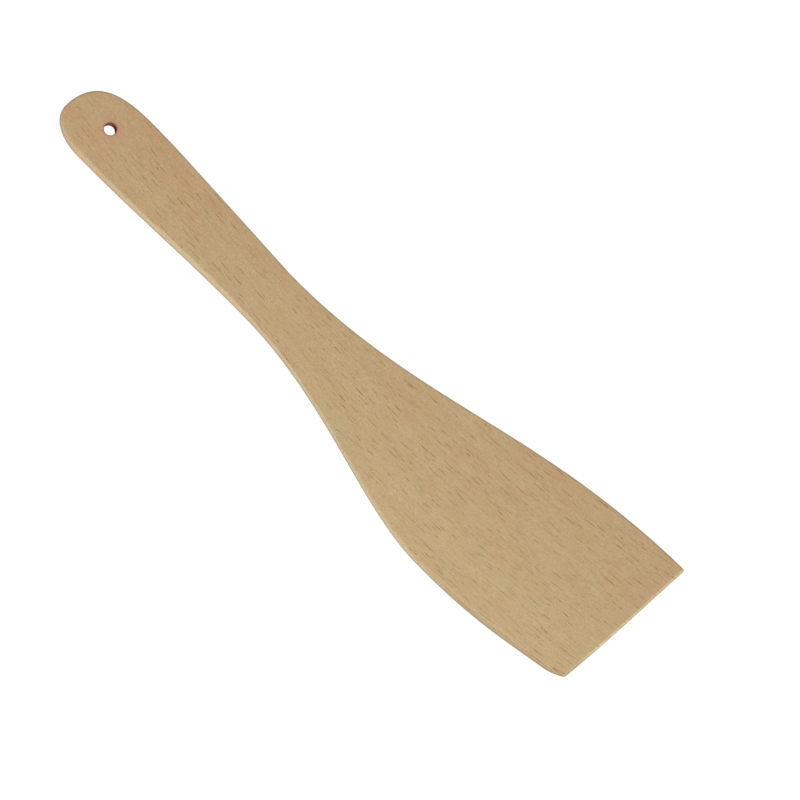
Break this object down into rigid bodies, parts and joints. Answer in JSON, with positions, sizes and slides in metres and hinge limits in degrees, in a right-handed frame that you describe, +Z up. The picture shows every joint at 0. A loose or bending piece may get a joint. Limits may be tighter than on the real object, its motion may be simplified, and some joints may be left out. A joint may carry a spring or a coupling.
{
  "type": "wooden spatula",
  "caption": "Flat wooden turning spatula cut from one board, with a rounded grip, a hanging hole and a wide blade planed thin to a slanted working edge.",
  "frame": {"origin": "centre of the bounding box, on the flat underside that the spatula lies on", "axes": "+X along the board from the grip to the working edge, +Y across it towards the far side whose working corner reaches furthest, +Z up out of the top face"},
  "size_m": [0.3, 0.0752, 0.006],
  "materials": {
    "beech": "matte"
  },
  "bodies": {
    "root": {"spatula": "beech"}
  },
  "joints": []
}
